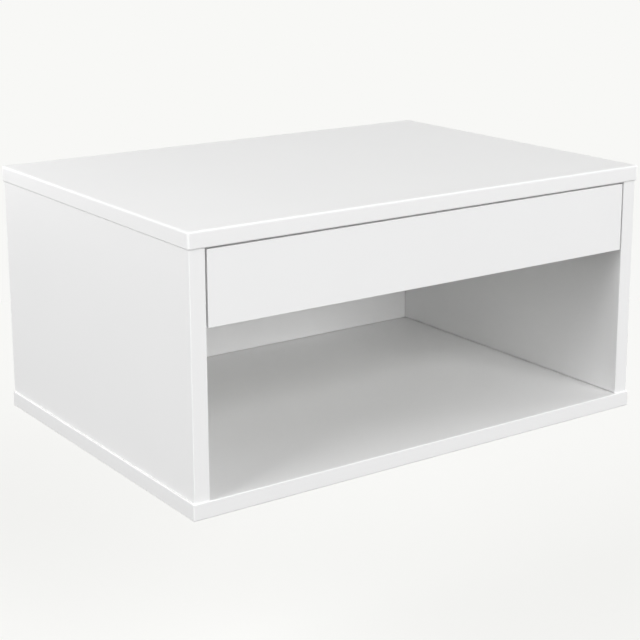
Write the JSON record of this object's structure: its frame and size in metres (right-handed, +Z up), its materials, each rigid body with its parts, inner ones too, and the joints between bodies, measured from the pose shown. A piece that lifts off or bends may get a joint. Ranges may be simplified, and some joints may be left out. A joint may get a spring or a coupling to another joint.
{
  "type": "floating nightstand",
  "caption": "Wall-hung bedside cabinet in white lacquered board with a handle-less drawer under the top and an open shelf below, hung on interlocking rails behind its back.",
  "frame": {"origin": "middle of the underside, at the level of the base panel's lower face", "axes": "+X to the right as seen from the front, the front faces -Y, the wall is at +Y, +Z is up"},
  "size_m": [0.6, 0.426, 0.292],
  "materials": {
    "lacquered_board": "white satin lacquer on fibreboard",
    "foiled_board": "white foil on fibreboard",
    "slide_steel": "bright zinc plate",
    "cage_steel": "pressed steel strip with steel balls",
    "screw_steel": "zinc plate",
    "cam_zinc": "zinc die casting",
    "rail_aluminium": "mill-finish extrusion",
    "dowel_beech": "plain beech"
  },
  "bodies": {
    "cabinet": {"top_panel": "lacquered_board", "base_panel": "lacquered_board", "side_panel_left": "lacquered_board", "side_panel_right": "lacquered_board", "back_panel": "lacquered_board", "slide_outer_left": "slide_steel", "slide_outer_right": "slide_steel", "base_screw_left_front": "screw_steel", "base_screw_left_rear": "screw_steel", "base_screw_right_front": "screw_steel", "base_screw_right_rear": "screw_steel", "cam_bolt_left_front": "screw_steel", "cam_bolt_left_rear": "screw_steel", "cam_bolt_right_front": "screw_steel", "cam_bolt_right_rear": "screw_steel", "outer_slide_screw_left_front": "screw_steel", "outer_slide_screw_left_rear": "screw_steel", "outer_slide_screw_right_front": "screw_steel", "outer_slide_screw_right_rear": "screw_steel", "hanger_screw_1": "screw_steel", "hanger_screw_2": "screw_steel", "hanger_screw_3": "screw_steel", "hanger_screw_4": "screw_steel", "cam_lock_left_front": "cam_zinc", "cam_lock_left_rear": "cam_zinc", "cam_lock_right_front": "cam_zinc", "cam_lock_right_rear": "cam_zinc", "hanger_rail_cabinet": "rail_aluminium", "hanger_rail_wall": "rail_aluminium", "top_dowel_left": "dowel_beech", "top_dowel_right": "dowel_beech", "base_dowel_left": "dowel_beech", "base_dowel_right": "dowel_beech", "back_dowel_left_upper": "dowel_beech", "back_dowel_left_lower": "dowel_beech", "back_dowel_right_upper": "dowel_beech", "back_dowel_right_lower": "dowel_beech"},
    "slide_middle_left": {"slide_middle_left": "slide_steel"},
    "slide_middle_right": {"slide_middle_right": "slide_steel"},
    "ball_cage_outer_left": {"ball_cage_outer_left": "cage_steel"},
    "ball_cage_outer_right": {"ball_cage_outer_right": "cage_steel"},
    "ball_cage_inner_left": {"ball_cage_inner_left": "cage_steel"},
    "ball_cage_inner_right": {"ball_cage_inner_right": "cage_steel"},
    "drawer": {"drawer_front": "lacquered_board", "drawer_box_left": "foiled_board", "drawer_box_right": "foiled_board", "drawer_box_front": "foiled_board", "drawer_box_back": "foiled_board", "drawer_bottom": "foiled_board", "slide_inner_left": "slide_steel", "slide_inner_right": "slide_steel", "inner_slide_screw_left_front": "screw_steel", "inner_slide_screw_left_rear": "screw_steel", "inner_slide_screw_right_front": "screw_steel", "inner_slide_screw_right_rear": "screw_steel", "front_screw_1": "screw_steel", "front_screw_2": "screw_steel", "front_screw_3": "screw_steel", "front_screw_4": "screw_steel"}
  },
  "joints": [
    {"name": "drawer_slide", "type": "slide", "parent": "cabinet", "child": "drawer", "axis": [0, -1, 0], "range_m": [0, 0.34]},
    {"name": "slide_middle_left_travel", "type": "slide", "parent": "cabinet", "child": "slide_middle_left", "axis": [0, -1, 0], "range_m": [0, 0.17]},
    {"name": "slide_middle_right_travel", "type": "slide", "parent": "cabinet", "child": "slide_middle_right", "axis": [0, -1, 0], "range_m": [0, 0.17]},
    {"name": "ball_cage_outer_left_travel", "type": "slide", "parent": "cabinet", "child": "ball_cage_outer_left", "axis": [0, -1, 0], "range_m": [0, 0.085]},
    {"name": "ball_cage_outer_right_travel", "type": "slide", "parent": "cabinet", "child": "ball_cage_outer_right", "axis": [0, -1, 0], "range_m": [0, 0.085]},
    {"name": "ball_cage_inner_left_travel", "type": "slide", "parent": "cabinet", "child": "ball_cage_inner_left", "axis": [0, -1, 0], "range_m": [0, 0.255]},
    {"name": "ball_cage_inner_right_travel", "type": "slide", "parent": "cabinet", "child": "ball_cage_inner_right", "axis": [0, -1, 0], "range_m": [0, 0.255]}
  ],
  "couplings": [
    {"joint": "slide_middle_left_travel", "follows": "drawer_slide", "ratio": 0.5},
    {"joint": "slide_middle_right_travel", "follows": "drawer_slide", "ratio": 0.5},
    {"joint": "ball_cage_outer_left_travel", "follows": "drawer_slide", "ratio": 0.25},
    {"joint": "ball_cage_outer_right_travel", "follows": "drawer_slide", "ratio": 0.25},
    {"joint": "ball_cage_inner_left_travel", "follows": "drawer_slide", "ratio": 0.75},
    {"joint": "ball_cage_inner_right_travel", "follows": "drawer_slide", "ratio": 0.75}
  ]
}
